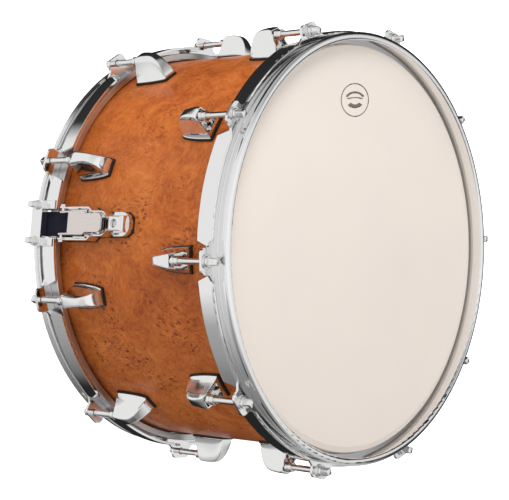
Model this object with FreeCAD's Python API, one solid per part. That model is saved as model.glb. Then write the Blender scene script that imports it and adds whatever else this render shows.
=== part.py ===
"""Snare drum, 14 by 8 inches, with single-ended lugs and a lever throw-off.

Millimetres. +Z is the drum's axis and points to the batter head. The origin is on the axis in the plane
that the resonant rim stands on. The throw-off is at -Y and the butt plate at +Y. An azimuth is counted
in degrees from -Y towards +X. A height h is counted outwards from the shell's outer surface.
"""
import FreeCAD, Part
import math
import os

from FreeCAD import Vector

# ---- driving dimensions -------------------------------------------------------------------------
SHELL_R = 177.0                 # outer radius of the shell
SHELL_WALL = 7.0
SHELL_DEPTH = 203.2             # 8 inches, bearing edge to bearing edge
FILM = 0.3                      # thickness of a drum head
RIM_ABOVE_HEAD = 11.4
STEEL = 2.3                     # sheet of the triple-flanged hoops
GASKET = 2.2                    # rubber pad under each lug

RODS = 10                       # tension rods on each head
ROD_CIRCLE_R = 195.5
BATTER_PHASE = 9.0              # azimuth of the first batter rod
RESONANT_PHASE = 19.7           # azimuth of the first resonant rod
STRAP_WIDTH = 21.0
STRAP_T = 0.8
SNARE_WIRES = 20
LEVER_TRAVEL = 5.0              # how far the carriage drops when the lever is thrown

# ---- heights along the axis ---------------------------------------------------------------------
RESONANT_PLANE = RIM_ABOVE_HEAD
SHELL_BOTTOM = RESONANT_PLANE + FILM
SHELL_TOP = SHELL_BOTTOM + SHELL_DEPTH
BATTER_PLANE = SHELL_TOP + FILM
HEIGHT = BATTER_PLANE + RIM_ABOVE_HEAD
MID = HEIGHT / 2

# ---- hoop section, heights from the head's plane ------------------------------------------------
WALL_IN = 181.1
WALL_OUT = WALL_IN + STEEL
SKIRT_OUT = 190.1
SKIRT_IN = SKIRT_OUT - STEEL
LIP_OUT = 188.0
FLANGE_TOP = -2.5
FLANGE_UNDER = FLANGE_TOP - STEEL
SKIRT_END = -18.0
EAR_OUT = 202.0
EAR_HALF = 10.5

# ---- lug: distances back from its rod face ------------------------------------------------------
BATTER_FACE = 176.0             # level of the batter lugs' rod faces
RESONANT_FACE = 45.5            # level of the resonant lugs' rod faces
LUG_BASE_R = SHELL_R + GASKET
# (distance back, half width at the base, half width at the crest, radius of the crest)
LUG_STATIONS = ((-3.5, 10.6, 9.6, 184.0), (0, 10.4, 5.9, 200.6), (1.5, 10.4, 5.7, 201.5), (8, 10.1, 4.8, 201.6),
                (14, 9.6, 4.1, 201.2), (18, 9.1, 3.9, 200.0), (22, 8.5, 4.3, 196.6), (25, 7.8, 5.0, 191.8),
                (27.2, 7.1, 5.9, 185.5), (28.2, 6.7, 6.4, 180.5))
POCKET_R = (LUG_BASE_R + 3.5, 200.1)
POCKET_WALL = 1.4
LUG_SCREWS = (6.0, 21.0)        # back from the rod face
SCREW_R = 2.0
NUT_SHANK_R = 3.7
ROD_R = 2.7
RUNNING = 0.05                  # radial clearance of a turning fit

# ---- throw-off ----------------------------------------------------------------------------------
BASE_H = 3.0                    # height of the die-cast base's floor
CHEEK_H = 12.0
PIVOT_Z = 38.5
PIVOT_H = 12.5
PIVOT_R = 1.4
STRAP_H = 8.2                   # height of the strap's inner face
SPINDLE_H = 8.6
SPINDLE_R = 1.6
BLOCK_H = 13.0

GATE_HALF = 12.5                # slot for the strap
GATE_END = 19.8
GATE_FACE = 192.0               # outer face of the hoop at a gate, under the bridge
BRIDGE_T = 2.0
GATE_BOLT_X = 15.6
GATE_BOLT_Z = 8.9

# ---- fastener and snare sizes -------------------------------------------------------------------
WASHER_T = 1.4
MOUNT_R = 2.4
MOUNT_HEAD_R = 3.2
STRAINER_SCREWS = (30.0, 101.5)
BUTT_SCREWS = (30.5, 59.5)
CLAMP_R = 1.5
CLAMP_X = (-5.5, 5.5)
CLAMP_Z = 55.8
CLAMP_TOP = 10.8
BUTT_CLAMP_X = (-12.6, 12.6)
BUTT_CLAMP_Z = 45.5
GATE_BOLT_R = 2.0
WIRE_R = 0.9
WIRE_Z = RESONANT_PLANE - WIRE_R - 0.1
WIRE_END = 146.0
VENT_R = 6.4
VENT_BORE_R = 4.5
VENT_AZIMUTH = 126.0

ZERO = Vector(0, 0, 0)
AXIS_Z = Vector(0, 0, 1)


# ---- helpers ------------------------------------------------------------------------------------
def rounded_wire(points, radii, to_3d):
    """Closed outline through 2-D points, each corner rounded to its radius; to_3d places it."""
    count = len(points)
    if not isinstance(radii, (list, tuple)):
        radii = [radii] * count
    corners = []
    for i, (x, y) in enumerate(points):
        (px, py), (nx, ny) = points[i - 1], points[(i + 1) % count]
        back, ahead = (px - x, py - y), (nx - x, ny - y)
        back_len, ahead_len = math.hypot(*back), math.hypot(*ahead)
        u = (back[0] / back_len, back[1] / back_len)
        v = (ahead[0] / ahead_len, ahead[1] / ahead_len)
        inside = math.acos(max(-1.0, min(1.0, u[0] * v[0] + u[1] * v[1])))
        r = radii[i]
        if r <= 0 or inside > math.pi - 1e-6:
            corners.append([(x, y)])
            continue
        cut = r / math.tan(inside / 2)
        bisector = (u[0] + v[0], u[1] + v[1])
        length = math.hypot(*bisector)
        reach = r / math.sin(inside / 2) - r
        middle = (x + bisector[0] / length * reach, y + bisector[1] / length * reach)
        corners.append([(x + u[0] * cut, y + u[1] * cut), middle, (x + v[0] * cut, y + v[1] * cut)])
    edges = []
    for i, corner in enumerate(corners):
        if len(corner) == 3:
            edges.append(Part.Arc(*[to_3d(*p) for p in corner]).toShape())
        start, end = to_3d(*corner[-1]), to_3d(*corners[(i + 1) % count][0])
        if (end - start).Length > 1e-6:
            edges.append(Part.LineSegment(start, end).toShape())
    return Part.Wire(edges)


def revolved(points, radii=0):
    """Ring or disc about Z from an outline of (radius, z)."""
    face = Part.Face(rounded_wire(points, radii, lambda r, z: Vector(r, 0, z)))
    return face.revolve(ZERO, AXIS_Z, 360)


def plate_xz(points, radii, h_low, h_high):
    """Outline in (x, z), standing between two heights above the shell at azimuth 0."""
    face = Part.Face(rounded_wire(points, radii, lambda x, z: Vector(x, -(SHELL_R + h_low), z)))
    return face.extrude(Vector(0, h_low - h_high, 0))


def plate_xy(points, radii, z_low, z_high):
    """Outline in (x, distance outwards from the axis), between two levels."""
    face = Part.Face(rounded_wire(points, radii, lambda x, r: Vector(x, -r, z_low)))
    return face.extrude(Vector(0, 0, z_high - z_low))


def plate_hz(points, radii, x_low, x_high):
    """Outline in (height above the shell, z), between two values of x."""
    face = Part.Face(rounded_wire(points, radii, lambda h, z: Vector(x_low, -(SHELL_R + h), z)))
    return face.extrude(Vector(x_high - x_low, 0, 0))


def mirrored_sides(points):
    """Right-hand outline points (x, other) completed by their mirror images."""
    return list(points) + [(-x, other) for x, other in reversed(points)]


def box(x, y, z):
    """Box between the two values given for each axis."""
    return Part.makeBox(x[1] - x[0], y[1] - y[0], z[1] - z[0], Vector(x[0], y[0], z[0]))


def upright(r, z_low, z_high, x=0.0, outwards=ROD_CIRCLE_R):
    """Cylinder parallel to the drum's axis."""
    return Part.makeCylinder(r, z_high - z_low, Vector(x, -outwards, z_low), AXIS_Z)


def radial(r, r_low, r_high, z, x=0.0):
    """Cylinder pointing outwards at azimuth 0, between two distances from the axis."""
    return Part.makeCylinder(r, r_high - r_low, Vector(x, -r_low, z), Vector(0, -1, 0))


def ring_sector(shape, r_low, r_high):
    """The part of a shape between two distances from the axis."""
    outer = Part.makeCylinder(r_high, HEIGHT, ZERO, AXIS_Z)
    return shape.common(outer).cut(Part.makeCylinder(r_low, HEIGHT, ZERO, AXIS_Z))


def at(shape, azimuth):
    """Copy of a shape turned to an azimuth."""
    copy = shape.copy()
    copy.rotate(ZERO, AXIS_Z, azimuth)
    return copy


def flipped(shape):
    """Copy of a batter-side shape mirrored to the resonant side."""
    return shape.mirror(Vector(0, 0, MID), AXIS_Z)


def azimuths(phase):
    return [phase + i * 360 / RODS for i in range(RODS)]


def all_round(make):
    """What make(face) gives at every batter rod, and its mirror image at every resonant rod."""
    shape, other = make(BATTER_FACE), flipped(make(HEIGHT - RESONANT_FACE))
    return [at(shape, a) for a in azimuths(BATTER_PHASE)] + [at(other, a) for a in azimuths(RESONANT_PHASE)]


def both_straps(shape):
    """The shape at the throw-off and at the butt plate."""
    return [shape, at(shape, 180)]


def save(name, shape):
    if isinstance(shape, (list, tuple)):
        shape = Part.makeCompound(list(shape))
    shape.exportStep(os.path.join("parts", name + ".step"))


# ---- shell and heads ----------------------------------------------------------------------------
def shell():
    inner = SHELL_R - SHELL_WALL
    land = (inner + 0.9, inner + 2.0)
    bevel = 5.1
    outline = [(inner, SHELL_BOTTOM + 1.0), (land[0], SHELL_BOTTOM), (land[1], SHELL_BOTTOM),
               (SHELL_R, SHELL_BOTTOM + bevel), (SHELL_R, SHELL_TOP - bevel), (land[1], SHELL_TOP),
               (land[0], SHELL_TOP), (inner, SHELL_TOP - 1.0)]
    body = revolved(outline)
    bed_depth, bed_half = 0.8, 35.0
    bed_r = bed_half ** 2 / (2 * bed_depth)
    centre = Vector(0, -SHELL_R, SHELL_BOTTOM + bed_depth - bed_r)
    bed = Part.makeCylinder(bed_r, 2 * SHELL_R, centre, Vector(0, 1, 0))

    def hole(r, z):
        return radial(r, inner - 2, SHELL_R + 2, z)

    clearance = 0.2
    holes = [h for s in LUG_SCREWS for h in all_round(lambda face, s=s: hole(SCREW_R + clearance, face - s))]
    holes += [hole(MOUNT_R + clearance, z) for z in STRAINER_SCREWS]
    holes += [at(hole(MOUNT_R + clearance, z), 180) for z in BUTT_SCREWS]
    holes.append(at(hole(VENT_R + 0.1, MID), VENT_AZIMUTH))
    return body.cut([bed] + holes)


def head():
    """Film with its collar, which the flesh hoop grips outside the shell."""
    flat_r, shoulder_r, collar_r = SHELL_R - 4.6, SHELL_R + 0.2, SHELL_R + 1.3
    top = [(0, 0), (flat_r, 0), (shoulder_r, -0.9), (collar_r, -2.6), (collar_r, -9.0)]
    under = [(collar_r - FILM, -9.0), (collar_r - FILM, -2.7), (shoulder_r - 0.18, -0.9 - FILM),
             (flat_r, -FILM), (0, -FILM)]
    return revolved([(r, BATTER_PLANE + z) for r, z in top + under])


def flesh_hoop():
    low, high, inner, outer = -14.0, FLANGE_UNDER - 0.2, SHELL_R + 1.5, SKIRT_IN - 3.2
    points = [(inner, low), (outer, low), (outer, high), (inner, high)]
    return revolved([(r, BATTER_PLANE + z) for r, z in points], 0.6)


# ---- hoops --------------------------------------------------------------------------------------
def hoop(phase, gates):
    """Triple-flanged hoop on the batter side: rim, flange with rod ears, and skirt."""
    p = BATTER_PLANE
    outline = [(WALL_IN, p + FLANGE_UNDER), (SKIRT_IN, p + FLANGE_UNDER), (SKIRT_IN, p + SKIRT_END),
               (SKIRT_OUT, p + SKIRT_END), (SKIRT_OUT, p + FLANGE_TOP), (WALL_OUT, p + FLANGE_TOP),
               (WALL_OUT, HEIGHT - STEEL - 0.3), (LIP_OUT - 0.5, HEIGHT - STEEL - 1.7), (LIP_OUT, HEIGHT - 1.6),
               (WALL_IN + 4.3, HEIGHT), (WALL_IN, HEIGHT)]
    body = revolved(outline, [0, 0, 0, 0, 2.2, 0.8, 0.8, 0, 1.0, 4.0, 2.0])
    ear = plate_xy(mirrored_sides([(18, SKIRT_IN), (EAR_HALF + 0.5, SKIRT_OUT + 3), (EAR_HALF, EAR_OUT)]),
                   [0, 3, 5, 5, 3, 0], p + FLANGE_UNDER, p + FLANGE_TOP)
    notch = plate_xz([(EAR_HALF, p + FLANGE_UNDER), (-EAR_HALF, p + FLANGE_UNDER),
                      (-EAR_HALF - 5.8, p + SKIRT_END - 1), (EAR_HALF + 5.8, p + SKIRT_END - 1)], 0, 9, 14)
    hole = upright(ROD_R + 0.6, p + FLANGE_UNDER - 1, p + FLANGE_TOP + 1)
    body = body.fuse([at(ear, a) for a in azimuths(phase)])
    cuts = [at(s, a) for s in (notch, hole) for a in azimuths(phase)]
    if gates:
        x, tab_end = (GATE_HALF, GATE_END), p - FLANGE_TOP + 1.9
        pad = box(x, (0.7 - GATE_FACE, -SKIRT_IN), (p + SKIRT_END + 0.5, p + FLANGE_TOP))
        shelf = box(x, (-GATE_FACE, -SKIRT_IN), (p + FLANGE_UNDER, p + FLANGE_TOP))
        tab = box(x, (-GATE_FACE, STEEL - GATE_FACE), (p + FLANGE_UNDER, tab_end))
        side = pad.fuse([shelf, tab]).removeSplitter()
        other = side.mirror(ZERO, Vector(1, 0, 0))
        body = body.fuse([t for half in (side, other) for t in both_straps(half)])
        slot = box((-GATE_HALF, GATE_HALF), (-EAR_OUT, 2 - WALL_IN), (p + SKIRT_END - 1, HEIGHT - STEEL - 1.7))
        bolts = [radial(GATE_BOLT_R + 0.15, SKIRT_IN - 1, EAR_OUT, HEIGHT - GATE_BOLT_Z, side_x)
                 for side_x in (GATE_BOLT_X, -GATE_BOLT_X)]
        cuts += [c for cut in [slot] + bolts for c in both_straps(cut)]
    return body.cut(cuts).removeSplitter()


# ---- lugs, rods and their small parts -----------------------------------------------------------
def lug_outline(face, margin):
    """Base outline of a lug in (x, z), grown by a margin."""
    right = [(half + margin, face - back) for back, half, _, _ in LUG_STATIONS]
    right[0] = (right[0][0], right[0][1] + margin)
    right[-1] = (right[-1][0], right[-1][1] - margin)
    return mirrored_sides(right)


def lug(face):
    """Hollow-fronted lug, waisted along its crest; the rod enters the pocket in its face."""
    sunk_r = SHELL_R - 3
    sections = []
    for back, base_half, crest_half, crest_r in LUG_STATIONS:
        slope = (base_half - crest_half) / (crest_r - LUG_BASE_R)
        low_half = base_half + slope * (LUG_BASE_R - sunk_r)
        corners = [(-low_half, sunk_r), (low_half, sunk_r), (crest_half, crest_r), (-crest_half, crest_r)]
        sections.append(rounded_wire(corners, 0, lambda x, r, z=face - back: Vector(x, -r, z)))
    body = Part.makeLoft(sections, True, True)
    if body.Volume < 0:
        body.reverse()
    body = ring_sector(body, LUG_BASE_R, POCKET_R[1] + 5)
    lip = ring_sector(plate_xz(lug_outline(face, 0.5), 0, -2, 6), LUG_BASE_R, LUG_BASE_R + 1.2)
    body = body.fuse(lip)
    _, base_half, crest_half, crest_r = LUG_STATIONS[1]
    taper = (crest_half - base_half) / (crest_r - LUG_BASE_R)
    sides = [(base_half + taper * (r - LUG_BASE_R) - POCKET_WALL, r) for r in POCKET_R]
    pocket = plate_xy(mirrored_sides(sides), 0.8, face - 1.4, face + 5)
    seat = upright(NUT_SHANK_R + RUNNING, face - 10, face + 1)
    tail = upright(ROD_R + 0.3, face - 15, face)
    screws = [radial(SCREW_R + 0.03, SHELL_R, SHELL_R + 9, face - s) for s in LUG_SCREWS]
    return body.cut([pocket, seat, tail] + screws)


def lug_gasket(face):
    pad = ring_sector(plate_xz(lug_outline(face, 1.1), 0, -2, 6), SHELL_R + 0.02, LUG_BASE_R - 0.02)
    return pad.cut([radial(SCREW_R + 0.2, SHELL_R - 2, SHELL_R + 4, face - s) for s in LUG_SCREWS])


def swivel_nut(face):
    ring_r, neck_r = 4.3, 3.6
    body = upright(NUT_SHANK_R, face - 9.8, face)
    body = body.fuse([upright(ring_r, face - 1.3, face + 3.0), upright(neck_r, face + 2.5, face + 4.5),
                      upright(ring_r, face + 4.0, face + 7.6)])
    return body.cut(upright(ROD_R + RUNNING, face - 12, face + 10))


def tension_rod(face):
    """Threaded rod with a flanged square head that a drum key turns."""
    seat = BATTER_PLANE + FLANGE_TOP + WASHER_T + 0.1
    half, flange_r, flange_t = 2.9, 4.8, 1.4
    square = plate_xy([(-half, ROD_CIRCLE_R - half), (half, ROD_CIRCLE_R - half), (half, ROD_CIRCLE_R + half),
                       (-half, ROD_CIRCLE_R + half)], 1.0, seat + flange_t, HEIGHT - 3.5)
    shaft = upright(ROD_R, face - 13.5, seat + 0.5)
    return shaft.fuse([upright(flange_r, seat, seat + flange_t), square]).removeSplitter()


def rod_washer(_face):
    low = BATTER_PLANE + FLANGE_TOP + 0.02
    return upright(5.9, low, low + WASHER_T).cut(upright(ROD_R + 0.2, low - 1, low + 3))


def lug_screw(z):
    under_head = SHELL_R - SHELL_WALL - 1.15
    body = radial(SCREW_R, under_head - 1, SHELL_R + 8, z).fuse(radial(3.6, under_head - 2.6, under_head, z))
    slot = box((-4, 4), (-(under_head - 1.6), -(under_head - 4)), (z - 0.5, z + 0.5))
    return body.cut(slot)


def inner_washer(z, r=5.0, hole_r=SCREW_R + 0.2):
    outer = SHELL_R - SHELL_WALL - 0.1
    return radial(r, outer - 1.0, outer, z).cut(radial(hole_r, outer - 3, outer + 2, z))


# ---- throw-off ----------------------------------------------------------------------------------
def pivot_cylinder(r, x_low, x_high):
    return Part.makeCylinder(r, x_high - x_low, Vector(x_low, -(SHELL_R + PIVOT_H), PIVOT_Z), Vector(1, 0, 0))


def both_sides(x_low, x_high, make):
    return [make(x_low, x_high), make(-x_high, -x_low)]


def strainer_base():
    """Die-cast housing: floor, bottle-shaped cheeks, and the block above them."""
    outer = mirrored_sides([(14.3, 34), (14.3, 69), (10.8, 73.5), (10.8, 92.5)])
    inner = mirrored_sides([(13.0, 33), (13.0, 68.6), (9.5, 73.0), (9.5, 91.2)])
    body = plate_xz(outer, [0, 2.5, 2.5, 8.5, 8.5, 2.5, 2.5, 0], -4, CHEEK_H)
    body = body.cut(plate_xz(inner, [0, 1.5, 3.5, 7.0, 7.0, 3.5, 1.5, 0], BASE_H, CHEEK_H + 1))
    tongue = plate_xz(mirrored_sides([(12.5, 26), (12.5, 40)]), [2.5, 0, 0, 2.5], -4, BASE_H)
    neck = plate_xz(mirrored_sides([(8.4, 88), (8.4, 100)]), 0, -4, BASE_H)
    heel = plate_xz(mirrored_sides([(10.2, 94.5), (10.2, 113)]), [1.5, 8.5, 8.5, 1.5], -4, 6)
    wedge = plate_xy([(-8.2, SHELL_R), (8.2, SHELL_R), (6.2, SHELL_R + BLOCK_H), (-6.2, SHELL_R + BLOCK_H)],
                     [0, 0, 1.6, 1.6], 90, 120)
    block = plate_hz([(0, 94.5), (BLOCK_H, 94.5), (BLOCK_H, 110.8), (0, 110.8)], [0, 1.2, 4, 0], -9, 9)
    block = block.common(wedge)
    end_wall = box((-4.5, 4.5), (-(SHELL_R + BLOCK_H - 1), -(SHELL_R + 1)), (91, 96))
    bosses = both_sides(12.8, 14.3, lambda a, b: pivot_cylinder(3.2, a, b))
    body = body.fuse([tongue, neck, heel, block, end_wall] + bosses)
    body = ring_sector(body, SHELL_R + 1.02, SHELL_R + 40)
    spindle_hole = upright(SPINDLE_R + RUNNING, 88, 96.5, 0, SHELL_R + SPINDLE_H)
    recess = radial(MOUNT_HEAD_R + 0.4, SHELL_R + 7, SHELL_R + 15, STRAINER_SCREWS[1])
    holes = [radial(MOUNT_R + 0.1, SHELL_R - 1, SHELL_R + 10, z) for z in STRAINER_SCREWS]
    pins = pivot_cylinder(PIVOT_R + 0.02, -20, 20)
    return body.cut([spindle_hole, recess, pins] + holes).removeSplitter()


def strainer_gasket():
    outline = mirrored_sides([(12.9, 25.6), (14.8, 33.6), (14.8, 69.3), (11.2, 74), (10.8, 93), (10.8, 107.5),
                              (6.5, 113.5)])
    pad = ring_sector(plate_xz(outline, 0, -2, 6), SHELL_R + 0.02, SHELL_R + 1.0)
    return pad.cut([radial(MOUNT_R + 0.2, SHELL_R - 2, SHELL_R + 4, z) for z in STRAINER_SCREWS])


def strainer_lever():
    """Paddle with two arms that turn on the cross pin."""
    paddle = plate_xz(mirrored_sides([(10.1, 51), (10.1, 69.5), (8.0, 72.5), (8.0, 91)]),
                      [3, 1.5, 1.2, 3.5, 3.5, 1.2, 1.5, 3], 16.2, 18)
    arm = [(PIVOT_H + 2.6, PIVOT_Z - 1), (17.9, 50), (17.9, 64), (16.1, 64), (PIVOT_H - 0.4, PIVOT_Z + 2.9)]
    arms = both_sides(8.6, 10.2, lambda a, b: plate_hz(arm, [0, 3, 0, 0, 0], a, b))
    bosses = both_sides(8.6, 10.2, lambda a, b: pivot_cylinder(3.0, a, b))
    body = paddle.fuse(arms + bosses)
    return body.cut(pivot_cylinder(PIVOT_R + RUNNING, -12, 12)).removeSplitter()


def pivot_pins():
    """A headed stub on each side, so that the strap passes between them."""
    shafts, heads = [both_sides(*ends, lambda a, b, r=r: pivot_cylinder(r, a, b))
                     for r, ends in ((PIVOT_R, (8.7, 15.0)), (2.4, (14.4, 16.2)))]
    return [shaft.fuse(cap).removeSplitter() for shaft, cap in zip(shafts, heads)]


def strainer_carriage():
    """Slider inside the housing; the strap is clamped to its lower half."""
    floor, under_strap = BASE_H + 0.3, STRAP_H - 0.1
    foot = plate_hz([(floor, 48), (under_strap, 48), (under_strap, 63), (floor, 63)], 0, -12.2, 12.2)
    top = plate_hz([(floor, 62.5), (CHEEK_H, 62.5), (CHEEK_H, 76), (floor, 76)], [0, 1, 1, 0], -8.6, 8.6)
    thread = upright(SPINDLE_R + RUNNING, 65, 77, 0, SHELL_R + SPINDLE_H)
    screws = [radial(CLAMP_R + 0.05, SHELL_R + 3.9, SHELL_R + 10, CLAMP_Z, x) for x in CLAMP_X]
    return foot.fuse(top).removeSplitter().cut([thread] + screws)


def strainer_clamp():
    plate = plate_xz(mirrored_sides([(10, 50), (10, 61.5)]), 1.5, STRAP_H + STRAP_T + 0.1, CLAMP_TOP)
    return plate.cut([radial(CLAMP_R + 0.1, SHELL_R, SHELL_R + 20, CLAMP_Z, x) for x in CLAMP_X])


def clamp_screw(x, z, low, top):
    """Pan-head screw, its head resting at height top."""
    return radial(CLAMP_R, SHELL_R + low, SHELL_R + top + 0.5, z, x).fuse(
        radial(2.7, SHELL_R + top + 0.05, SHELL_R + top + 1.8, z, x))


def thumbwheel():
    """Knurled wheel on the spindle that threads into the carriage."""
    low, high, r = 82.5, 90.0, 5.2
    outwards = SHELL_R + SPINDLE_H
    wheel = upright(r, low, high, 0, outwards)
    wheel = wheel.makeFillet(0.6, [e for e in wheel.Edges if isinstance(e.Curve, Part.Circle)])
    grooves = []
    count = 18
    for i in range(count):
        angle = 2 * math.pi * i / count
        x, y = (r + 0.25) * math.cos(angle), -outwards + (r + 0.25) * math.sin(angle)
        grooves.append(Part.makeCylinder(0.6, high - low + 2, Vector(x, y, low - 1), AXIS_Z))
    spindle = upright(SPINDLE_R, 66.5, 96.2, 0, outwards)
    return wheel.cut(grooves).fuse(spindle).removeSplitter()


# ---- butt plate ---------------------------------------------------------------------------------
def butt_base():
    plate = plate_xz(mirrored_sides([(15, 26), (15, 64)]), 3, -4, BASE_H)
    block = plate_hz([(0, 35), (STRAP_H - 0.1, 35), (STRAP_H - 0.1, 55), (0, 55)], [0, 1, 1, 0], -15, 15)
    body = ring_sector(plate.fuse(block), SHELL_R + 1.02, SHELL_R + 40)
    cuts = [radial(MOUNT_R + 0.1, SHELL_R - 1, SHELL_R + 10, z) for z in BUTT_SCREWS]
    cuts += [radial(CLAMP_R + 0.05, SHELL_R + 3.9, SHELL_R + 10, BUTT_CLAMP_Z, x) for x in BUTT_CLAMP_X]
    return at(body.cut(cuts).removeSplitter(), 180)


def butt_gasket():
    outline = mirrored_sides([(15.5, 25.5), (15.5, 64.5)])
    pad = ring_sector(plate_xz(outline, 3, -2, 6), SHELL_R + 0.02, SHELL_R + 1.0)
    return at(pad.cut([radial(MOUNT_R + 0.2, SHELL_R - 2, SHELL_R + 4, z) for z in BUTT_SCREWS]), 180)


def butt_clamp():
    plate = plate_xz(mirrored_sides([(14.8, 38), (14.8, 53)]), 2, STRAP_H + STRAP_T + 0.1, CLAMP_TOP + 0.6)
    plate = plate.cut([radial(CLAMP_R + 0.1, SHELL_R, SHELL_R + 20, BUTT_CLAMP_Z, x) for x in BUTT_CLAMP_X])
    return at(plate, 180)


# ---- snares -------------------------------------------------------------------------------------
def strap(top_z, holes):
    """Webbing from the snare end plate, out past the flesh hoop and up to its clamp."""
    low = WIRE_Z - WIRE_R
    start, outer, inner = WIRE_END + 1, STRAP_H + STRAP_T, STRAP_H
    outline = [(start - SHELL_R, low), (outer, low), (outer, top_z), (inner, top_z), (inner, low + STRAP_T),
               (start - SHELL_R, low + STRAP_T)]
    body = plate_hz(outline, [0, 3.4, 0, 0, 2.6, 0], -STRAP_WIDTH / 2, STRAP_WIDTH / 2)
    return body.cut([radial(CLAMP_R + 0.2, SHELL_R, SHELL_R + 20, z, x) for x, z in holes]) if holes else body


def snare_wires():
    pitch = 2.1
    starts = [(i - (SNARE_WIRES - 1) / 2) * pitch for i in range(SNARE_WIRES)]
    return [Part.makeCylinder(WIRE_R, 2 * WIRE_END, Vector(x, -WIRE_END, WIRE_Z), Vector(0, 1, 0))
            for x in starts]


def snare_plate():
    low = WIRE_Z - WIRE_R - 0.9
    return plate_xy(mirrored_sides([(21.5, WIRE_END - 4), (21.5, WIRE_END + 9)]), 1.5, low, low + 0.8)


# ---- snare gates --------------------------------------------------------------------------------
def gate_bridge():
    """Plate across the gate on the rim side of the strap, with a flange inwards over the slot."""
    top = RESONANT_PLANE - FLANGE_UNDER
    plate = plate_xz(mirrored_sides([(GATE_END, 3.6), (GATE_END, top)]), [2.5, 0.8, 0.8, 2.5],
                     GATE_FACE - SHELL_R + 0.05, GATE_FACE - SHELL_R + BRIDGE_T)
    flange = box((-GATE_HALF + 0.3, GATE_HALF - 0.3), (-GATE_FACE - 0.5, 4.7 - GATE_FACE), (top - 2.2, top))
    holes = [radial(GATE_BOLT_R + 0.15, 180, 200, GATE_BOLT_Z, x) for x in (GATE_BOLT_X, -GATE_BOLT_X)]
    return plate.cut(holes).fuse(flange).removeSplitter()


def gate_bolt(x):
    """Square-headed bolt, radial, from the bridge into a nut behind the tab."""
    washer_r, flange_r, end_r = GATE_FACE + BRIDGE_T + 1.1, GATE_FACE + BRIDGE_T + 2.5, 202.0
    half = 2.6
    square = box((x - half, x + half), (-end_r, 0.2 - flange_r), (GATE_BOLT_Z - half, GATE_BOLT_Z + half))
    long_edges = [e for e in square.Edges if abs(e.tangentAt(e.FirstParameter).y) > 0.9]
    square = square.makeFillet(0.9, long_edges)
    return square.fuse([radial(3.9, washer_r, flange_r, GATE_BOLT_Z, x),
                        radial(GATE_BOLT_R, 186.3, flange_r, GATE_BOLT_Z, x)])


def gate_washer(x):
    low = GATE_FACE + BRIDGE_T + 0.05
    return radial(4.4, low, low + 1.0, GATE_BOLT_Z, x).cut(radial(GATE_BOLT_R + 0.1, 180, 200, GATE_BOLT_Z, x))


def hex_nut(centre, direction, across, hole_r, thickness):
    """Hexagon nut from its centre on the seat face, along a direction."""
    side = across / math.sqrt(3)
    points = [(side * math.cos(math.radians(60 * i)), side * math.sin(math.radians(60 * i))) for i in range(6)]
    face = Part.Face(rounded_wire(points, 0, lambda a, b: Vector(a, b, 0)))
    nut = face.extrude(Vector(0, 0, thickness)).cut(Part.makeCylinder(hole_r, thickness + 2, Vector(0, 0, -1)))
    nut.Placement = FreeCAD.Placement(centre, FreeCAD.Rotation(AXIS_Z, direction))
    return nut


def vent_grommet():
    inner, outer = SHELL_R - SHELL_WALL, SHELL_R
    body = radial(VENT_R, inner - 1.4, outer + 1.3, MID)
    body = body.fuse([radial(9.0, outer + 0.05, outer + 1.3, MID), radial(8.5, inner - 1.4, inner - 0.25, MID)])
    return at(body.cut(radial(VENT_BORE_R, inner - 4, outer + 4, MID)), VENT_AZIMUTH)


def mount_screw(z, seat_h):
    """Screw with a socket in its head, seated at a height, long enough for the nut inside the shell."""
    seat = SHELL_R + seat_h
    body = radial(MOUNT_R, seat - 19, seat + 1, z).fuse(radial(MOUNT_HEAD_R, seat + 0.05, seat + 3.2, z))
    return body.cut(radial(1.5, seat + 1.4, seat + 5, z))


def mount_nut(z):
    seat = SHELL_R - SHELL_WALL - 1.2
    return hex_nut(Vector(0, -seat, z), Vector(0, 1, 0), 8.0, MOUNT_R + 0.03, 3.2)


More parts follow.
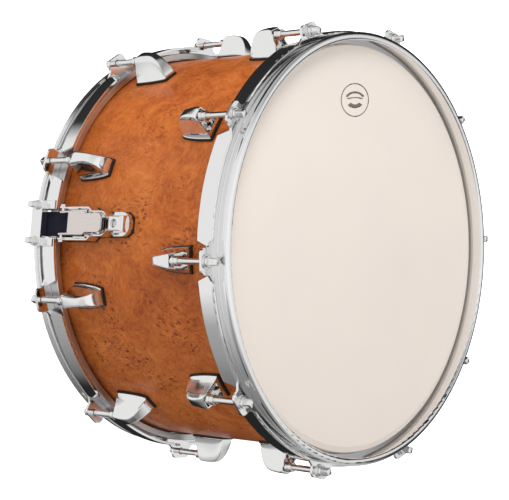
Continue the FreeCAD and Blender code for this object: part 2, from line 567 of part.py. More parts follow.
def main():
    os.makedirs("parts", exist_ok=True)
    batter_head, ring = head(), flesh_hoop()
    save("shell", shell())
    save("batter_head", batter_head)
    save("resonant_head", flipped(batter_head))
    save("batter_flesh_hoop", ring)
    save("resonant_flesh_hoop", flipped(ring))
    save("batter_hoop", hoop(BATTER_PHASE, False))
    save("resonant_hoop", flipped(hoop(RESONANT_PHASE, True)))

    lugs = all_round(lug)
    save("batter_lugs", lugs[:RODS])
    save("resonant_lugs", lugs[RODS:])
    save("lug_gaskets", all_round(lug_gasket))
    save("swivel_nuts", all_round(swivel_nut))
    rods = all_round(tension_rod)
    for i, rod in enumerate(rods):
        side = "batter" if i < RODS else "resonant"
        save(f"{side}_tension_rod_{i % RODS + 1:02d}", rod)
    save("tension_rod_washers", all_round(rod_washer))
    save("lug_screws",
         [s for back in LUG_SCREWS for s in all_round(lambda face, back=back: lug_screw(face - back))])
    save("lug_screw_washers",
         [w for back in LUG_SCREWS for w in all_round(lambda face, back=back: inner_washer(face - back))])

    save("strainer_gasket", strainer_gasket())
    save("strainer_base", strainer_base())
    save("strainer_lever", strainer_lever())
    save("strainer_pivot_pins", pivot_pins())
    save("strainer_carriage", strainer_carriage())
    save("strainer_strap_clamp", strainer_clamp())
    save("strainer_clamp_screws", [clamp_screw(x, CLAMP_Z, 4, CLAMP_TOP) for x in CLAMP_X])
    save("strainer_thumbwheel", thumbwheel())

    save("butt_gasket", butt_gasket())
    save("butt_base", butt_base())
    save("butt_strap_clamp", butt_clamp())
    save("butt_clamp_screws",
         [at(clamp_screw(x, BUTT_CLAMP_Z, 4, CLAMP_TOP + 0.6), 180) for x in BUTT_CLAMP_X])
    screws = [mount_screw(STRAINER_SCREWS[0], BASE_H), mount_screw(STRAINER_SCREWS[1], 7.0)]
    screws += [at(mount_screw(z, BASE_H), 180) for z in BUTT_SCREWS]
    save("mount_screws", screws)
    nuts = [mount_nut(z) for z in STRAINER_SCREWS] + [at(mount_nut(z), 180) for z in BUTT_SCREWS]
    save("mount_nuts", nuts)
    washers = [inner_washer(z, 6.0, MOUNT_R + 0.2) for z in STRAINER_SCREWS]
    washers += [at(inner_washer(z, 6.0, MOUNT_R + 0.2), 180) for z in BUTT_SCREWS]
    save("mount_washers", washers)

    save("snare_wires", snare_wires())
    save("snare_end_plates", both_straps(snare_plate()))
    save("front_strap", strap(61.5, [(x, CLAMP_Z) for x in CLAMP_X]))
    save("rear_strap", at(strap(53.0, []), 180))

    save("gate_bridges", both_straps(gate_bridge()))
    sides = (GATE_BOLT_X, -GATE_BOLT_X)
    save("gate_bolts", [b for x in sides for b in both_straps(gate_bolt(x))])
    save("gate_washers", [w for x in sides for w in both_straps(gate_washer(x))])
    seat, inwards = GATE_FACE - STEEL - 0.05, Vector(0, 1, 0)
    gate_nuts = [hex_nut(Vector(x, -seat, GATE_BOLT_Z), inwards, 7.0, GATE_BOLT_R + 0.03, 2.6) for x in sides]
    save("gate_nuts", [n for nut in gate_nuts for n in both_straps(nut)])
    save("vent_grommet", vent_grommet())


main()
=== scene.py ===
"""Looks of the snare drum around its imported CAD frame: camera, light, materials and detailed pieces.

Metres, in the frame's own axes: +Z is the drum's axis towards the batter head, the throw-off is at -Y.
Lengths in tables are millimetres (MM turns them into metres). An azimuth is counted in degrees from -Y
towards +X.
"""
import math

import bpy
import bmesh
from mathutils import Euler, Matrix, Vector


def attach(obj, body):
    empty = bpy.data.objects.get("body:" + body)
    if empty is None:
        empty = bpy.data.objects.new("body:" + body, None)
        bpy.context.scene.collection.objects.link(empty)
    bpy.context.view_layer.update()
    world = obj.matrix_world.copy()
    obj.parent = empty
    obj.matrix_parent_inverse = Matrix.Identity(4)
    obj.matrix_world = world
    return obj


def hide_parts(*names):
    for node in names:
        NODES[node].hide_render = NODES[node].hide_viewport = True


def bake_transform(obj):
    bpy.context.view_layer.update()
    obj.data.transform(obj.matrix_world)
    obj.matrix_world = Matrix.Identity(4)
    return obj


MM = 0.001
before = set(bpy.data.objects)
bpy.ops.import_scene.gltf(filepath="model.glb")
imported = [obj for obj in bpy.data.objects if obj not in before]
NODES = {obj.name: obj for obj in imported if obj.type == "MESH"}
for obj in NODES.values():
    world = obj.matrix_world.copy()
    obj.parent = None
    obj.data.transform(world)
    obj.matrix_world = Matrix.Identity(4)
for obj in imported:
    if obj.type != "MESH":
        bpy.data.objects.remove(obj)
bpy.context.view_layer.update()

# ---- camera and studio --------------------------------------------------------------------------
CAMERA_PLACE = (0.1027, -1.0333, 0.9841)
CAMERA_TURN = (-0.938, -49.381, 96.792)      # degrees, XYZ
LENS = 104.26

# ---- drum dimensions, as in the CAD (mm) --------------------------------------------------------
HEIGHT = 226.6
HEAD_Z = 215.2
RODS = 10
ROD_CIRCLE_R = 195.5
BATTER_PHASE, RESONANT_PHASE = 9.0, 19.7
BATTER_FACE, RESONANT_FACE = 176.0, 45.5
LUG_BASE_R = 179.2
LUG_STATIONS = ((0, 10.4, 5.9, 200.6), (1.5, 10.4, 5.7, 201.5), (8, 10.1, 4.8, 201.7), (14, 9.6, 4.1, 201.2),
                (18, 9.1, 3.9, 200.0), (22, 8.5, 4.3, 196.6), (25, 7.8, 5.0, 191.8),
                (27.2, 7.1, 5.9, 185.5), (28.2, 6.7, 6.4, 181.2))
LUG_FLARE = 3.5
ROD_SEAT = 214.2
ROD_TOP = HEIGHT - 3.5
THREAD_R, ROOT_R, THREAD_PITCH = 2.68, 2.42, 0.7
ROD_TURN = 17                   # degrees between the heads of neighbouring rods
STRAP_W, STRAP_T = 21.0, 0.8
STRAP_LOW = 9.5                 # under side of a strap's flat part
STRAP_R, STRAP_BEND_R = 185.6, 3.0
STRAP_FLAT = (147.5, 182.2)     # radii between which a strap runs flat
FRONT_STRAP_TOP, REAR_STRAP_TOP = 61.4, 52.9
WIRES, WIRE_SPACING, WIRE_END, WIRE_Z = 20, 2.1, 146.0, 10.4
MARK_CENTRE = (-127.8, -22.9, 0)


def make_camera():
    data = bpy.data.cameras.new("camera")
    data.lens = LENS
    camera = bpy.data.objects.new("camera", data)
    camera.location = CAMERA_PLACE
    camera.rotation_euler = Euler([math.radians(a) for a in CAMERA_TURN])
    bpy.context.scene.collection.objects.link(camera)
    bpy.context.scene.camera = camera


# ---- shader building ----------------------------------------------------------------------------
class Tree:
    """Short way to add and join shader nodes."""

    def __init__(self, tree):
        self.tree = tree

    def add(self, kind, inputs=None, **attributes):
        node = self.tree.nodes.new("ShaderNode" + kind)
        for key, value in attributes.items():
            setattr(node, key, value)
        for key, value in (inputs or {}).items():
            if isinstance(value, bpy.types.NodeSocket):
                self.tree.links.new(value, node.inputs[key])
            else:
                node.inputs[key].default_value = value
        return node

    def math(self, operation, a, b=0.0, c=0.0):
        return self.add("Math", {0: a, 1: b, 2: c}, operation=operation).outputs[0]

    def noise(self, vector, scale, detail=3.0, rough=0.55, distortion=0.0):
        return self.add("TexNoise", {"Vector": vector, "Scale": scale, "Detail": detail, "Roughness": rough,
                                     "Distortion": distortion}).outputs[0]

    def fit(self, value, low, high, out_low=0.0, out_high=1.0, smooth=False):
        kind = "SMOOTHSTEP" if smooth else "LINEAR"
        return self.add("MapRange", {0: value, 1: low, 2: high, 3: out_low, 4: out_high},
                        interpolation_type=kind).outputs[0]

    def ramp(self, value, stops):
        node = self.add("ValToRGB", {0: value})
        elements = node.color_ramp.elements
        while len(elements) < len(stops):
            elements.new(0.5)
        for element, (place, color) in zip(elements, stops):
            element.position = place
            element.color = (*color, 1)
        return node.outputs[0]

    def mix(self, fac, a, b):
        node = self.add("Mix", data_type="RGBA")
        for key, value in ((0, fac), (6, a), (7, b)):
            if isinstance(value, bpy.types.NodeSocket):
                self.tree.links.new(value, node.inputs[key])
            else:
                node.inputs[key].default_value = value if key == 0 else (*value, 1)
        return node.outputs[2]


class Finish(Tree):
    """A material around one Principled BSDF."""

    def __init__(self, name, **inputs):
        self.material = bpy.data.materials.new(name)
        self.material.use_nodes = True
        super().__init__(self.material.node_tree)
        self.bsdf = self.tree.nodes["Principled BSDF"]
        self.place = self.add("TexCoord").outputs["Object"]
        self.set(**inputs)

    def set(self, **inputs):
        for key, value in inputs.items():
            socket = self.bsdf.inputs[key.replace("_", " ")]
            if isinstance(value, bpy.types.NodeSocket):
                self.tree.links.new(value, socket)
            else:
                socket.default_value = (*value, 1) if isinstance(value, tuple) and len(value) == 3 else value

    def bump(self, height, distance, strength=1.0, normal=None):
        inputs = {"Height": height, "Distance": distance, "Strength": strength}
        if normal is not None:
            inputs["Normal"] = normal
        return self.add("Bump", inputs).outputs[0]


def metal(name, color, rough, edge, smudge, ripple=0.0):
    """Plated or plain metal: rounded edges in shading, faint wipe marks, and a slight ripple."""
    m = Finish(name, Base_Color=color, Metallic=1.0)
    wiped = m.noise(m.place, 35.0, 4.0, 0.6, 0.6)
    fine = m.noise(m.place, 420.0, 2.0)
    spread = m.math("MULTIPLY_ADD", wiped, smudge, rough - smudge / 2)
    m.set(Roughness=m.math("MULTIPLY_ADD", fine, smudge / 2, spread))
    normal = m.add("Bevel", {"Radius": edge * MM}, samples=6).outputs[0]
    if ripple:
        normal = m.bump(m.noise(m.place, 60.0, 2.0), ripple * MM, 1.0, normal)
    m.set(Normal=normal)
    return m.material


def burl_veneer():
    """Amber burl: clouded tone, swirling figure lines, clusters of dark eyes, under satin lacquer."""
    m = Finish("burl_veneer", Specular_IOR_Level=0.12, Coat_Weight=0.45, Coat_Roughness=0.2, Coat_IOR=1.25)
    warp = m.add("TexNoise", {"Vector": m.place, "Scale": 14.0, "Detail": 3.0})
    bent = m.add("VectorMath", {0: warp.outputs[1], 1: (0.05, 0.05, 0.05)}, operation="MULTIPLY").outputs[0]
    place = m.add("VectorMath", {0: m.place, 1: bent}, operation="ADD").outputs[0]
    cloud = m.noise(place, 11.0, 4.0, 0.6, 0.4)
    mottle = m.noise(place, 55.0, 5.0, 0.65, 0.8)
    grain = m.noise(place, 260.0, 4.0, 0.7, 0.5)
    tone = m.math("MULTIPLY_ADD", mottle, 0.42, m.math("MULTIPLY", cloud, 0.42))
    tone = m.math("MULTIPLY_ADD", grain, 0.50, m.math("SUBTRACT", tone, 0.17))
    color = m.ramp(tone, [(0.22, (0.20, 0.036, 0.006)), (0.38, (0.36, 0.078, 0.012)),
                          (0.5, (0.50, 0.125, 0.020)), (0.62, (0.60, 0.175, 0.035)),
                          (0.8, (0.68, 0.24, 0.065))])
    # figure lines follow the contours of a soft noise
    contour = m.noise(place, 20.0, 2.0, 0.5, 1.2)
    wave = m.math("SINE", m.math("MULTIPLY", contour, 110.0))
    line = m.fit(wave, 0.80, 1.0, 0.0, 1.0, True)
    broken = m.fit(m.noise(place, 48.0, 3.0), 0.48, 0.66, 0.0, 1.0, True)
    lines = m.math("MULTIPLY", line, broken)
    color = m.mix(m.math("MULTIPLY", lines, 0.55), color, (0.15, 0.032, 0.008))
    # eyes of three sizes gather in clusters, drawn out along the axis
    cluster = m.fit(m.noise(place, 24.0, 4.0, 0.6, 0.5), 0.45, 0.58, 0.0, 1.0, True)
    drawn = m.add("VectorMath", {0: place, 1: (1.0, 1.0, 0.62)}, operation="MULTIPLY").outputs[0]
    for scale, size, deep in ((190.0, 0.34, 0.75), (340.0, 0.36, 0.7), (560.0, 0.36, 0.55)):
        cell = m.add("TexVoronoi", {"Vector": drawn, "Scale": scale, "Randomness": 1.0})
        spot = m.fit(cell.outputs[0], size * 0.45, size, 1.0, 0.0, True)
        pick = m.fit(m.noise(cell.outputs["Position"], 9.0, 0.0), 0.42, 0.54, 0.0, 1.0, True)
        mask = m.math("MULTIPLY", m.math("MULTIPLY", spot, pick), m.math("MULTIPLY", cluster, deep))
        color = m.mix(mask, color, (0.15, 0.030, 0.009))
    m.set(Base_Color=color, Roughness=m.fit(mottle, 0.3, 0.7, 0.38, 0.5))
    m.set(Normal=m.bump(grain, 0.00002, 0.4), Coat_Normal=m.bump(m.noise(m.place, 18.0, 2.0), 0.0002, 0.5))
    return m.material


def coated_film():
    m = Finish("coated_film", Base_Color=(0.85, 0.765, 0.70), Roughness=0.62)
    spray = m.noise(m.place, 900.0, 4.0, 0.7)
    cloud = m.noise(m.place, 9.0, 2.0)
    m.set(Base_Color=m.ramp(cloud, [(0.3, (0.845, 0.765, 0.70)), (0.7, (0.875, 0.795, 0.72))]))
    m.set(Normal=m.bump(spray, 0.00004, 0.6), Roughness=m.fit(spray, 0.3, 0.7, 0.5, 0.72))
    return m.material


def clear_film():
    m = Finish("clear_film", Base_Color=(0.80, 0.79, 0.76), Roughness=0.16, IOR=1.58)
    m.set(Transmission_Weight=0.35, Normal=m.bump(m.noise(m.place, 30.0, 2.0), 0.0001, 0.4))
    m.set(Roughness=m.fit(m.noise(m.place, 120.0, 3.0), 0.3, 0.7, 0.12, 0.24))
    return m.material


def rubber():
    m = Finish("black_rubber", Base_Color=(0.012, 0.012, 0.012), Roughness=0.6)
    m.set(Normal=m.bump(m.noise(m.place, 1500.0, 3.0), 0.00003, 0.5))
    m.set(Roughness=m.fit(m.noise(m.place, 200.0, 3.0), 0.3, 0.7, 0.5, 0.75))
    return m.material


def webbing():
    """Plain-woven navy ribbon: ribs across and down, slightly worn threads."""
    m = Finish("navy_webbing", Roughness=0.85, Specular_IOR_Level=0.2, Sheen_Weight=0.06, Sheen_Roughness=0.5)
    axes = m.add("SeparateXYZ", {0: m.place})
    across = m.math("SINE", m.math("MULTIPLY", axes.outputs[0], 2 * math.pi / 0.0009))
    run = m.math("ADD", axes.outputs[2], axes.outputs[1])
    down = m.math("SINE", m.math("MULTIPLY", run, 2 * math.pi / 0.0012))
    weave = m.math("MULTIPLY", across, down)
    worn = m.noise(m.place, 500.0, 4.0, 0.7)
    tone = m.math("MULTIPLY_ADD", weave, 0.12, worn)
    m.set(Base_Color=m.ramp(tone, [(0.3, (0.004, 0.004, 0.012)), (0.55, (0.009, 0.009, 0.024)),
                                   (0.8, (0.020, 0.021, 0.042))]))
    m.set(Normal=m.bump(weave, 0.00012, 0.8))
    return m.material


# colour, roughness, rounding of edges (mm), wipe marks, ripple (mm)
METALS = {
    "flesh_hoop_aluminium": ((0.70, 0.70, 0.71), 0.32, 0.3, 0.08),
    "hoop_chrome": ((0.90, 0.90, 0.90), 0.07, 0.45, 0.05, 0.02),
    "lug_chrome": ((0.90, 0.90, 0.89), 0.06, 0.3, 0.04),
    "rod_steel": ((0.88, 0.87, 0.86), 0.10, 0.25, 0.06),
    "plain_steel": ((0.55, 0.55, 0.56), 0.30, 0.2, 0.10),
    "strainer_chrome": ((0.88, 0.87, 0.86), 0.08, 0.5, 0.05),
    # the lever's pink-brown tint is a painted reflection of the amber shell, not a colour of the chrome itself
    "lever_chrome": ((0.80, 0.73, 0.70), 0.26, 0.5, 0.06),
    "wheel_black_chrome": ((0.20, 0.20, 0.21), 0.16, 0.2, 0.08),
    "snare_steel": ((0.72, 0.72, 0.73), 0.22, 0.0, 0.08),
}


def make_materials():
    """All materials by slot; the frame may hold one of the same name, so a datablock's own name is no key."""
    made = {"burl_veneer": burl_veneer(), "coated_film": coated_film(), "clear_film": clear_film(),
            "black_rubber": rubber(), "navy_webbing": webbing()}
    made.update((name, metal(name, *values)) for name, values in METALS.items())
    return made


# ---- mesh helpers -------------------------------------------------------------------------------
def turn(azimuth):
    return Matrix.Rotation(math.radians(azimuth), 4, "Z")


def flip():
    """Mirror a batter-side place to the resonant side."""
    return Matrix.Translation((0, 0, HEIGHT)) @ Matrix.Diagonal((1, 1, -1, 1))


def azimuths(phase):
    return [phase + i * 360 / RODS for i in range(RODS)]


def curve_at(table, x, column):
    """Smooth value of a table's column at x (Catmull-Rom through its rows)."""
    rows = [(row[0], row[column]) for row in table]
    last = len(rows) - 2
    i = next((k for k in range(last + 1) if x <= rows[k + 1][0]), last)
    (x1, y1), (x2, y2) = rows[i], rows[i + 1]
    x0, y0 = rows[i - 1] if i else (2 * x1 - x2, 2 * y1 - y2)
    x3, y3 = rows[i + 2] if i + 2 < len(rows) else (2 * x2 - x1, 2 * y2 - y1)
    m1, m2 = (y2 - y0) / (x2 - x0), (y3 - y1) / (x3 - x1)
    w, t = x2 - x1, (x - x1) / (x2 - x1)
    return ((2 * t ** 3 - 3 * t ** 2 + 1) * y1 + (t ** 3 - 2 * t ** 2 + t) * w * m1
            + (3 * t ** 2 - 2 * t ** 3) * y2 + (t ** 3 - t ** 2) * w * m2)


def add_loops(mesh, loops):
    """Skin a row of equal loops of points (mm) into a closed solid."""
    rows = [[mesh.verts.new(Vector(p) * MM) for p in loop] for loop in loops]
    count = len(rows[0])
    for a, b in zip(rows, rows[1:]):
        for k in range(count):
            mesh.faces.new((a[k], a[(k + 1) % count], b[(k + 1) % count], b[k]))
    mesh.faces.new(rows[0][::-1])
    mesh.faces.new(rows[-1])


def add_lathe(mesh, profile, centre=(0, 0), steps=32):
    """Closed solid of revolution about a line parallel to Z; profile runs from (0, z) to (0, z)."""
    ends = [mesh.verts.new(Vector((*centre, z)) * MM) for z in (profile[0][1], profile[-1][1])]
    rings = [[mesh.verts.new(Vector((centre[0] + r * math.cos(2 * math.pi * k / steps),
                                     centre[1] + r * math.sin(2 * math.pi * k / steps), z)) * MM)
              for k in range(steps)] for r, z in profile[1:-1]]
    for a, b in zip(rings, rings[1:]):
        for k in range(steps):
            mesh.faces.new((a[k], a[(k + 1) % steps], b[(k + 1) % steps], b[k]))
    for k in range(steps):
        mesh.faces.new((ends[0], rings[0][(k + 1) % steps], rings[0][k]))
        mesh.faces.new((ends[1], rings[-1][k], rings[-1][(k + 1) % steps]))


def finished(mesh, name):
    """Mesh data from a bmesh, with outward normals."""
    bmesh.ops.recalc_face_normals(mesh, faces=mesh.faces)
    data = bpy.data.meshes.new(name)
    mesh.to_mesh(data)
    mesh.free()
    return data


def add_object(name, data, body, slot, replaced=(), bevel=0.0, angle=30.0, place=None):
    """Piece in the scene; edges over the angle (degrees) are rounded by the bevel (mm) or kept sharp."""
    obj = bpy.data.objects.new(name, data)
    bpy.context.scene.collection.objects.link(obj)
    if place is not None:
        obj.matrix_world = place
    if not data.materials:
        data.materials.append(MATERIALS[slot])
    data.shade_smooth()
    if bevel:
        rounding = obj.modifiers.new("rounding", "BEVEL")
        rounding.width = bevel * MM
        rounding.segments = 3
        rounding.limit_method = "ANGLE"
        rounding.angle_limit = math.radians(angle)
        rounding.harden_normals = True
    elif angle:
        data.set_sharp_from_angle(angle=math.radians(angle))
    if body:
        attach(obj, body)
    if replaced:
        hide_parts(*replaced)
    return obj


# ---- lugs ---------------------------------------------------------------------------------------
def lug_section(back, face, slant, wall=0.0, top_wall=0.0):
    """Loop round a lug at one distance back; slant leans it forward towards the base.

    With a wall, it is the loop round the hollow inside instead.
    """
    lip, foot = 0.4, 0.5
    base_half = curve_at(LUG_STATIONS, back, 1)
    crest_half = curve_at(LUG_STATIONS, back, 2)
    crest_r = curve_at(LUG_STATIONS, back, 3)
    edge = 0.9 if crest_r > 186 else 0.4
    floor_r = LUG_BASE_R + (3.5 if wall else 0.0)

    def side(r):
        t = (r - LUG_BASE_R) / (crest_r - LUG_BASE_R)
        belly = 0.5 * math.sin(math.pi * min(1, max(0, t)))
        return base_half + (crest_half - base_half) * t - belly - wall

    if wall:
        right = [(side(floor_r) * 0.6, floor_r), (side(floor_r) - 0.4, floor_r),
                 (side(floor_r + 0.4), floor_r + 0.4)]
    else:
        right = [(side(LUG_BASE_R) + lip, LUG_BASE_R), (side(LUG_BASE_R) + lip, LUG_BASE_R + foot),
                 (side(LUG_BASE_R + 2 * foot), LUG_BASE_R + 2 * foot)]
    low = right[-1][1]
    high = crest_r - top_wall - edge
    right += [(side(low + (high - low) * k / 4), low + (high - low) * k / 4) for k in (1, 2, 3, 4)]
    top = crest_r - top_wall
    half = side(crest_r) + (0.0 if not wall else 0.5)
    right += [(half - 0.25 * edge, top - 0.3 * edge), (half - edge, top), (half * 0.45, top + 0.12)]
    loop = right + [(-x, r) for x, r in reversed(right)]
    crest = curve_at(LUG_STATIONS, 0, 3)
    points = []
    for x, r in loop:
        lean = slant * max(0.0, min(1.0, (crest - r) / (crest - 184.0)))
        depth = math.sqrt(r * r - x * x) if r < LUG_BASE_R + 3 else r
        points.append((x, -depth, face - back + lean))
    return points


def lug_loops(face):
    """Loops from the bottom of the hollow, out over its mouth and back along the outside."""
    backs = [0.0, 1.0] + [2.5 + 1.5 * k for k in range(17)] + [27.4, 28.2]
    outer = [lug_section(b, face, LUG_FLARE * max(0.0, 1 - b / 4.0)) for b in backs]
    mouth = [lug_section(0.0, face + 0.02, LUG_FLARE, 1.3, 0.65),
             lug_section(0.0, face - 0.5, LUG_FLARE, 1.5, 0.75), lug_section(0.0, face - 6.0, 1.5, 1.9, 0.8)]
    return mouth[::-1] + outer


def lugs(phase, face, flipped):
    mesh = bmesh.new()
    loops = lug_loops(face)
    for azimuth in azimuths(phase):
        place = (flip() if flipped else Matrix()) @ turn(azimuth)
        add_loops(mesh, [[place @ Vector(p) for p in loop] for loop in loops])
    return finished(mesh, "lugs")


def swivel_nuts():
    """Shank in the lug, then two collars with a neck between them, from the lug's face outwards."""
    profile = [(0, -9.5), (3.5, -9.5), (3.7, -9.3), (3.7, -1.3), (4.1, -1.3), (4.3, -1.1), (4.3, 2.6),
               (4.0, 3.0), (3.6, 3.1), (3.5, 3.9), (4.0, 4.0), (4.3, 4.3), (4.3, 7.2), (4.0, 7.55),
               (3.2, 7.6), (2.9, 7.2), (0, 7.2)]
    mesh = bmesh.new()
    for phase, level, sign in ((BATTER_PHASE, BATTER_FACE, 1), (RESONANT_PHASE, RESONANT_FACE, -1)):
        for azimuth in azimuths(phase):
            spot = turn(azimuth) @ Vector((0, -ROD_CIRCLE_R, 0))
            add_lathe(mesh, [(r, level + sign * z) for r, z in profile], (spot.x, spot.y))
    return finished(mesh, "swivel_nuts")


def rod_mesh(face):
    """Rod along Z with its axis at the origin: threaded shaft, flange, and a domed square head."""
    mesh = bmesh.new()
    tip = face - 13.5
    profile = [(0, tip), (2.0, tip), (THREAD_R, tip + 0.8)]
    z = tip + 1.2
    while z < face + 12:
        profile += [(THREAD_R, z), (ROOT_R, z + THREAD_PITCH / 2)]
        z += THREAD_PITCH
    profile += [(THREAD_R, z + 0.6), (THREAD_R, ROD_SEAT - 0.6), (2.9, ROD_SEAT), (4.5, ROD_SEAT),
                (4.8, ROD_SEAT + 0.3), (4.7, ROD_SEAT + 1.0), (4.2, ROD_SEAT + 1.35), (0, ROD_SEAT + 1.4)]
    add_lathe(mesh, profile)
    half, corner = 2.9, 0.9
    loops = []
    for z, inset in ((ROD_SEAT + 1.0, 0.0), (ROD_TOP - 0.9, 0.0), (ROD_TOP - 0.35, 0.3), (ROD_TOP, 1.0)):
        loop = []
        for quarter in range(4):
            for k in range(4):
                a = math.pi / 2 * (quarter + k / 3)
                cx, cy = [(half - inset - corner) * s for s in ((1, 1), (-1, 1), (-1, -1), (1, -1))[quarter]]
                loop.append((cx + corner * math.cos(a), cy + corner * math.sin(a), z))
        loops.append(loop)
    add_loops(mesh, loops)
    return finished(mesh, "rod")


def make_rods():
    """Twenty rods, each on its own body; those of one side share a mesh."""
    for side, phase, face in (("batter", BATTER_PHASE, BATTER_FACE),
                              ("resonant", RESONANT_PHASE, HEIGHT - RESONANT_FACE)):
        data = rod_mesh(face)
        for i, azimuth in enumerate(azimuths(phase)):
            spot = turn(azimuth) @ Vector((0, -ROD_CIRCLE_R * MM, 0))
            place = Matrix.Translation(spot)
            if side == "resonant":
                place = Matrix.Translation((spot.x, spot.y, HEIGHT * MM)) @ Matrix.Rotation(math.pi, 4, "X")
            place = place @ Matrix.Rotation(math.radians(azimuth + ROD_TURN * i), 4, "Z")
            name = f"{side}_rod_{i + 1:02d}"
            add_object(f"{name}_detail", data, name, "rod_steel", [f"{side}_tension_rod_{i + 1:02d}"],
                       angle=25.0, place=place)


# ---- straps and snares --------------------------------------------------------------------------
def strap_line(top):
    """Middle line of a strap as (radius, z): flat from the snare end plate, round the bend, up to its clamp."""
    start, end = STRAP_FLAT
    middle = STRAP_LOW + STRAP_T / 2
    bend_z = middle + STRAP_BEND_R
    line = [(start + (end - start) * k / 12, middle) for k in range(12)]
    for k in range(9):
        a = math.pi / 2 * k / 8
        line.append((STRAP_R - STRAP_BEND_R * (1 - math.sin(a)), bend_z - STRAP_BEND_R * math.cos(a)))
    steps = int((top - bend_z) / 1.2)
    return line + [(STRAP_R, bend_z + (top - bend_z) * k / steps) for k in range(1, steps + 1)]


def strap_mesh(top, back):
    """Ribbon along its line, as one sheet with a rounded edge; gives the mesh and its flat length."""
    line = strap_line(top)
    half, skin = STRAP_W / 2, STRAP_T / 2
    section = [(half - 0.2, -skin), (half, 0.0), (half - 0.2, skin)]
    section += [(half - 1.5 - (STRAP_W - 3) * k / 8, 0.9 * skin) for k in range(9)]
    section += [(-half + 0.2, skin), (-half, 0.0), (-half + 0.2, -skin)]
    section += [(-half + 1.5 + (STRAP_W - 3) * k / 8, -0.9 * skin) for k in range(9)]
    loops = []
    for i, (r, z) in enumerate(line):
        before, after = line[max(0, i - 1)], line[min(len(line) - 1, i + 1)]
        dr, dz = after[0] - before[0], after[1] - before[1]
        step = math.hypot(dr, dz)
        loops.append([(x, -(r - dz / step * lift), z + dr / step * lift) for x, lift in section])
    if back:
        loops = [[(-x, -y, z) for x, y, z in loop] for loop in loops]
    mesh = bmesh.new()
    add_loops(mesh, loops)
    return finished(mesh, "strap"), sum(math.dist(a, b) for a, b in zip(line, line[1:]))


def make_straps():
    data, length = strap_mesh(FRONT_STRAP_TOP, False)
    front = add_object("front_strap_web", data, None, "navy_webbing", ["front_strap"], angle=0)
    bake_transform(front)
    data, length = strap_mesh(REAR_STRAP_TOP, True)
    rear = add_object("rear_strap_web", data, "drum", "navy_webbing", ["rear_strap"], angle=0)


def snare_wires():
    """Twenty coiled wires, each a thin round wire wound on a 1.8 mm coil."""
    mesh = bmesh.new()
    coil_r, wire_r, pitch = 0.68, 0.21, 2.0
    per_turn, sides = 9, 4
    count = int(2 * WIRE_END / pitch * per_turn)
    for i in range(WIRES):
        x0 = (i - (WIRES - 1) / 2) * WIRE_SPACING
        loops = []
        for k in range(count + 1):
            y = -WIRE_END + 2 * WIRE_END * k / count
            a = 2 * math.pi * k / per_turn + i
            out = Vector((math.cos(a), 0, math.sin(a)))
            centre = Vector((x0, y, WIRE_Z)) + coil_r * out
            loops.append([centre + wire_r * (math.cos(b) * out + math.sin(b) * Vector((0, 1, 0)))
                          for b in (2 * math.pi * s / sides for s in range(sides))])
        add_loops(mesh, loops)
    return finished(mesh, "snare_wires")


def head_mark():
    """Generic oval with two bars, a thin print on the batter head."""
    mesh = bmesh.new()
    centre, across, down = Vector(MARK_CENTRE), Vector((-0.19, 0.98, 0)), Vector((0.99, 0.13, 0))
    low, high = HEAD_Z + 0.02, HEAD_Z + 0.07

    def ring(inner, outer, start, end, squash_y, steps=64):
        closed = end - start > 359
        for k in range(steps):
            a, b = [math.radians(start + (end - start) * t / steps) for t in (k, k + 1)]
            corners = [centre + r * (math.cos(t) * across + squash_y * math.sin(t) * down)
                       for r, t in ((inner, a), (outer, a), (outer, b), (inner, b))]
            bottom = [mesh.verts.new((c + Vector((0, 0, low))) * MM) for c in corners]
            top = [mesh.verts.new((c + Vector((0, 0, high))) * MM) for c in corners]
            mesh.faces.new(top)
            mesh.faces.new(bottom[::-1])
            for p, q in ((0, 1), (2, 3)) + (() if closed else ((1, 2), (3, 0))):
                mesh.faces.new((bottom[p], bottom[q], top[q], top[p]))

    ring(19.2, 20.4, 0, 360, 0.72)
    for squash, inner, outer in ((0.5, 11.5, 15.0), (0.18, 9.0, 14.0)):
        ring(inner, outer, 205, 335, squash, 24)
    ring(7.0, 13.0, 35, 145, 0.55, 24)
    bmesh.ops.remove_doubles(mesh, verts=mesh.verts, dist=1e-6)
    return finished(mesh, "head_mark")


# ---- studio -------------------------------------------------------------------------------------
def make_floor():
    """White floor that reads white to the camera, lights the drum only a little and stays out of the chrome."""
    bpy.ops.mesh.primitive_plane_add(size=16.0, location=(0, 0, 0))
    floor = bpy.context.object
    floor.name = "floor"
    m = Finish("floor_white", Base_Color=(0.92, 0.92, 0.92), Roughness=0.9, Emission_Color=(1, 1, 1))
    seen = m.add("LightPath").outputs["Is Camera Ray"]
    m.set(Emission_Strength=m.fit(seen, 0.0, 1.0, 0.12, 0.95))
    floor.data.materials.append(m.material)
    floor.visible_glossy = False


# brightness of the studio round the drum, by compass angle in degrees from -Y towards -X
LOW_RING = ((-180, 0.03), (-160, 0.06), (-146, 0.55), (-122, 0.58), (-100, 0.10), (-84, 0.18), (-66, 0.32),
            (-48, 0.40), (-30, 0.86), (58, 0.86), (70, 0.03), (160, 0.02), (180, 0.03))
HIGH_RING = ((-180, 0.80), (-140, 0.75), (-110, 0.25), (-75, 0.30), (-50, 0.62), (-20, 0.80), (10, 0.82),
             (40, 0.78), (80, 0.62), (120, 0.30), (150, 0.80), (180, 0.80))
# the height of a direction runs from 0, level, to 1, straight up
LOW_ENDS, HIGH_STARTS = 0.38, 0.62
OVERHEAD = (0.80, 0.95)
BLACK_CARD = (0.55, 0.43, -0.71)               # direction in which the lower black card hangs
WARM = (1.0, 0.97, 0.95)


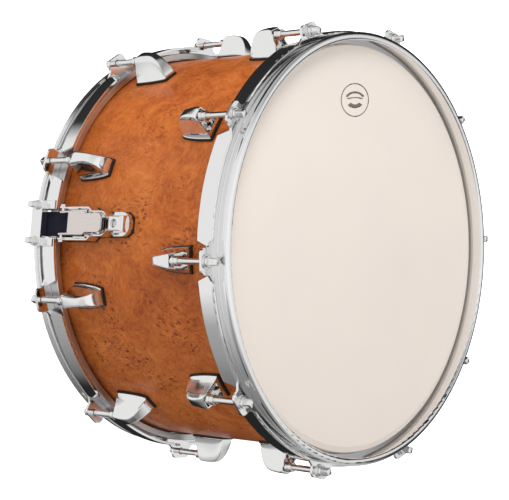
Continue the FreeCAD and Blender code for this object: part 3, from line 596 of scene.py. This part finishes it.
def make_world():
    """Studio seen in the metal: white to the camera, a low ring and a high ring of cards and gaps elsewhere."""
    world = bpy.data.worlds.new("studio")
    bpy.context.scene.world = world
    world.use_nodes = True
    tree = Tree(world.node_tree)
    direction = tree.add("TexCoord").outputs["Generated"]
    axes = tree.add("SeparateXYZ", {0: direction}).outputs
    compass = tree.math("ARCTAN2", tree.math("MULTIPLY", axes[0], -1.0), tree.math("MULTIPLY", axes[1], -1.0))
    place = tree.math("MULTIPLY_ADD", compass, 0.5 / math.pi, 0.5)
    rings = [tree.ramp(place, [((angle + 180) / 360, (v, v, v)) for angle, v in ring])
             for ring in (LOW_RING, HIGH_RING)]
    rise = tree.fit(axes[2], LOW_ENDS, HIGH_STARTS, 0.0, 1.0, True)
    around = tree.mix(rise, *rings)
    facing = tree.add("VectorMath", {0: direction, 1: BLACK_CARD}, operation="DOT_PRODUCT").outputs["Value"]
    around = tree.mix(tree.fit(facing, 0.86, 0.93, 0.0, 1.0, True), around, (0.02, 0.02, 0.02))
    overhead = tree.fit(axes[2], *OVERHEAD, 0.0, 1.0, True)
    studio = tree.mix(overhead, around, (0.95, 0.95, 0.95))
    path = tree.add("LightPath")
    studio = tree.mix(path.outputs["Is Diffuse Ray"], studio, (0.36, 0.36, 0.36))
    studio = tree.mix(path.outputs["Is Camera Ray"], studio, (1.0, 1.0, 1.0))
    world.node_tree.links.new(studio, world.node_tree.nodes["Background"].inputs[0])


def area_light(name, place, target, size, power, color=(1, 1, 1)):
    """Soft light that the chrome does not mirror."""
    data = bpy.data.lights.new(name, "AREA")
    data.size = size
    data.energy = power
    data.color = color
    lamp = bpy.data.objects.new(name, data)
    lamp.location = place
    lamp.rotation_euler = (Vector(target) - Vector(place)).to_track_quat("-Z", "Y").to_euler()
    lamp.visible_glossy = False
    bpy.context.scene.collection.objects.link(lamp)


def make_lights():
    area_light("key", (-0.75, -0.95, 0.85), (0, -0.1, 0.1), 0.5, 7.0, WARM)
    area_light("side", (-1.7, -0.2, 0.8), (0, 0, 0.1), 1.0, 9.0, WARM)
    area_light("head", (-0.5, 0.3, 2.4), (0, 0, 0.2), 1.4, 20.5)
    area_light("fill", (0.6, -2.0, 0.5), (0, 0, 0.1), 1.5, 4.0)


# ---- the scene ----------------------------------------------------------------------------------
make_camera()
make_floor()
make_world()
make_lights()
bpy.context.scene.view_settings.view_transform = "Standard"
MATERIALS = make_materials()

SLOTS = {
    "burl_veneer": "shell", "coated_film": "batter_head", "clear_film": "resonant_head",
    "black_rubber": "lug_gaskets strainer_gasket butt_gasket",
    "flesh_hoop_aluminium": "batter_flesh_hoop resonant_flesh_hoop",
    "hoop_chrome": "batter_hoop resonant_hoop gate_bridges", "lug_chrome": "batter_lugs resonant_lugs",
    "plain_steel": "lug_screws lug_screw_washers mount_nuts mount_washers",
    "strainer_chrome": "strainer_base strainer_carriage strainer_strap_clamp butt_base butt_strap_clamp "
                       "vent_grommet",
    "lever_chrome": "strainer_lever", "wheel_black_chrome": "strainer_thumbwheel",
    "snare_steel": "snare_wires snare_end_plates", "navy_webbing": "front_strap rear_strap",
}
slot_of = {node: slot for slot, nodes in SLOTS.items() for node in nodes.split()}
for name, node in NODES.items():
    node.data.materials.clear()
    node.data.materials.append(MATERIALS[slot_of.get(name, "rod_steel")])

add_object("batter_lugs_detail", lugs(BATTER_PHASE, BATTER_FACE, False), "drum", "lug_chrome", ["batter_lugs"],
           bevel=0.3, angle=38)
add_object("resonant_lugs_detail", lugs(RESONANT_PHASE, HEIGHT - RESONANT_FACE, True), "drum", "lug_chrome",
           ["resonant_lugs"], bevel=0.3, angle=38)
add_object("swivel_nuts_detail", swivel_nuts(), "drum", "rod_steel", ["swivel_nuts"], angle=40)
make_rods()
make_straps()
add_object("snare_wires_detail", snare_wires(), "drum", "snare_steel", ["snare_wires"], angle=60)
mark = Finish("head_mark_ink", Base_Color=(0.20, 0.16, 0.14), Roughness=0.7)
mark.set(Roughness=mark.fit(mark.noise(mark.place, 900.0), 0.3, 0.7, 0.6, 0.8))
mark_data = head_mark()
mark_data.materials.append(mark.material)
add_object("head_mark", mark_data, "drum", "coated_film", angle=0)
